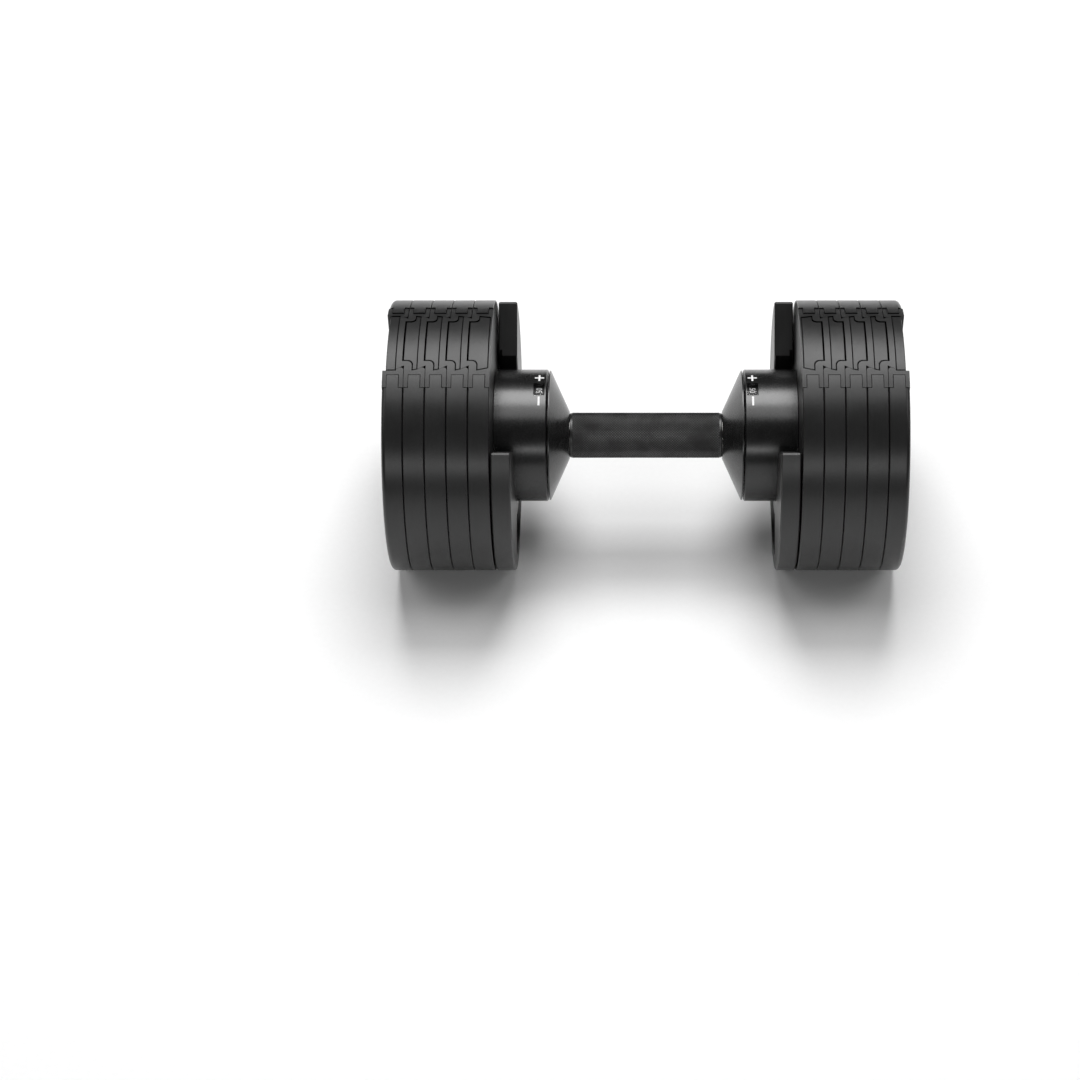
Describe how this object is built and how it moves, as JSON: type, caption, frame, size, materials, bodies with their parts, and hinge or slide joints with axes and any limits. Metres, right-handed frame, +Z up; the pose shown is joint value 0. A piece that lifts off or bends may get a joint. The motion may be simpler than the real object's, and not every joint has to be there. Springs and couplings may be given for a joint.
{
  "type": "adjustable dumbbell",
  "caption": "Dumbbell whose knurled grip turns to slide lock rods through interlocking round weight plates, with a dial window in each drum.",
  "frame": {"origin": "on the floor, under the middle of the grip", "axes": "+X along the bar to the right as the user faces it, +Y away from the user, +Z up"},
  "size_m": [0.3666, 0.196, 0.1894],
  "materials": {
    "plate_steel": "satin black powder coat",
    "rail_plastic": "moulded black nylon, light texture",
    "panel_plastic": "moulded black nylon, fine texture",
    "saddle_plastic": "moulded black, fine texture",
    "drum_plastic": "satin black moulding",
    "cone_plastic": "satin black moulding",
    "dial_plastic": "matt black with white numbers",
    "window_clear": "clear polycarbonate",
    "grip_steel": "black-coated knurled steel",
    "rod_steel": "zinc-plated steel",
    "fastener_steel": "black zinc",
    "spring_steel": "spring wire",
    "bush_bronze": "sintered bronze",
    "plunger_plastic": "acetal"
  },
  "bodies": {
    "frame": {"core_tube": "rod_steel", "left_weight_plate_1": "plate_steel", "left_weight_plate_2": "plate_steel", "left_weight_plate_3": "plate_steel", "left_weight_plate_4": "plate_steel", "left_weight_plate_5": "plate_steel", "left_rail_shell_1": "rail_plastic", "left_rail_shell_2": "rail_plastic", "left_rail_shell_3": "rail_plastic", "left_rail_shell_4": "rail_plastic", "left_rail_shell_5": "rail_plastic", "left_core_panel_1": "panel_plastic", "left_core_panel_2": "panel_plastic", "left_core_panel_3": "panel_plastic", "left_core_panel_4": "panel_plastic", "left_core_panel_5": "panel_plastic", "left_saddle_plate": "saddle_plastic", "left_saddle_bolts": "fastener_steel", "left_drum": "drum_plastic", "left_drum_end": "rail_plastic", "left_drum_screws": "fastener_steel", "left_dial_window": "window_clear", "left_plunger_spring": "spring_steel", "right_weight_plate_1": "plate_steel", "right_weight_plate_2": "plate_steel", "right_weight_plate_3": "plate_steel", "right_weight_plate_4": "plate_steel", "right_weight_plate_5": "plate_steel", "right_rail_shell_1": "rail_plastic", "right_rail_shell_2": "rail_plastic", "right_rail_shell_3": "rail_plastic", "right_rail_shell_4": "rail_plastic", "right_rail_shell_5": "rail_plastic", "right_core_panel_1": "panel_plastic", "right_core_panel_2": "panel_plastic", "right_core_panel_3": "panel_plastic", "right_core_panel_4": "panel_plastic", "right_core_panel_5": "panel_plastic", "right_saddle_plate": "saddle_plastic", "right_saddle_bolts": "fastener_steel", "right_drum": "drum_plastic", "right_drum_end": "rail_plastic", "right_drum_screws": "fastener_steel", "right_dial_window": "window_clear", "right_plunger_spring": "spring_steel"},
    "grip": {"grip_sleeve": "grip_steel", "cam_sleeve": "rod_steel", "left_grip_cone": "cone_plastic", "left_dial_ring": "dial_plastic", "left_bush": "bush_bronze", "right_grip_cone": "cone_plastic", "right_dial_ring": "dial_plastic", "right_bush": "bush_bronze"},
    "left_rod": {"left_lock_rod": "rod_steel", "left_follower_pin": "rod_steel"},
    "left_plunger": {"left_lock_plunger": "plunger_plastic"},
    "right_rod": {"right_lock_rod": "rod_steel", "right_follower_pin": "rod_steel"},
    "right_plunger": {"right_lock_plunger": "plunger_plastic"}
  },
  "joints": [
    {"name": "grip_turn", "type": "hinge", "parent": "frame", "child": "grip", "pos_m": [0, 0, 0.092], "axis": [1, 0, 0], "range_deg": [-324, 0]},
    {"name": "left_rod_slide", "type": "slide", "parent": "frame", "child": "left_rod", "axis": [-1, 0, 0], "range_m": [-0.072, 0]},
    {"name": "right_rod_slide", "type": "slide", "parent": "frame", "child": "right_rod", "axis": [1, 0, 0], "range_m": [-0.072, 0]},
    {"name": "left_plunger_drop", "type": "slide", "parent": "frame", "child": "left_plunger", "axis": [0, 0, 1], "range_m": [-0.003, 0], "stiffness_N_per_m": 400, "springref_m": -0.006, "deforming": ["left_plunger_spring"]},
    {"name": "right_plunger_drop", "type": "slide", "parent": "frame", "child": "right_plunger", "axis": [0, 0, 1], "range_m": [-0.003, 0], "stiffness_N_per_m": 400, "springref_m": -0.006, "deforming": ["right_plunger_spring"]}
  ],
  "couplings": [
    {"joint": "left_rod_slide", "follows": "grip_turn", "m_per_rad": 0.01273},
    {"joint": "right_rod_slide", "follows": "grip_turn", "m_per_rad": 0.01273}
  ]
}
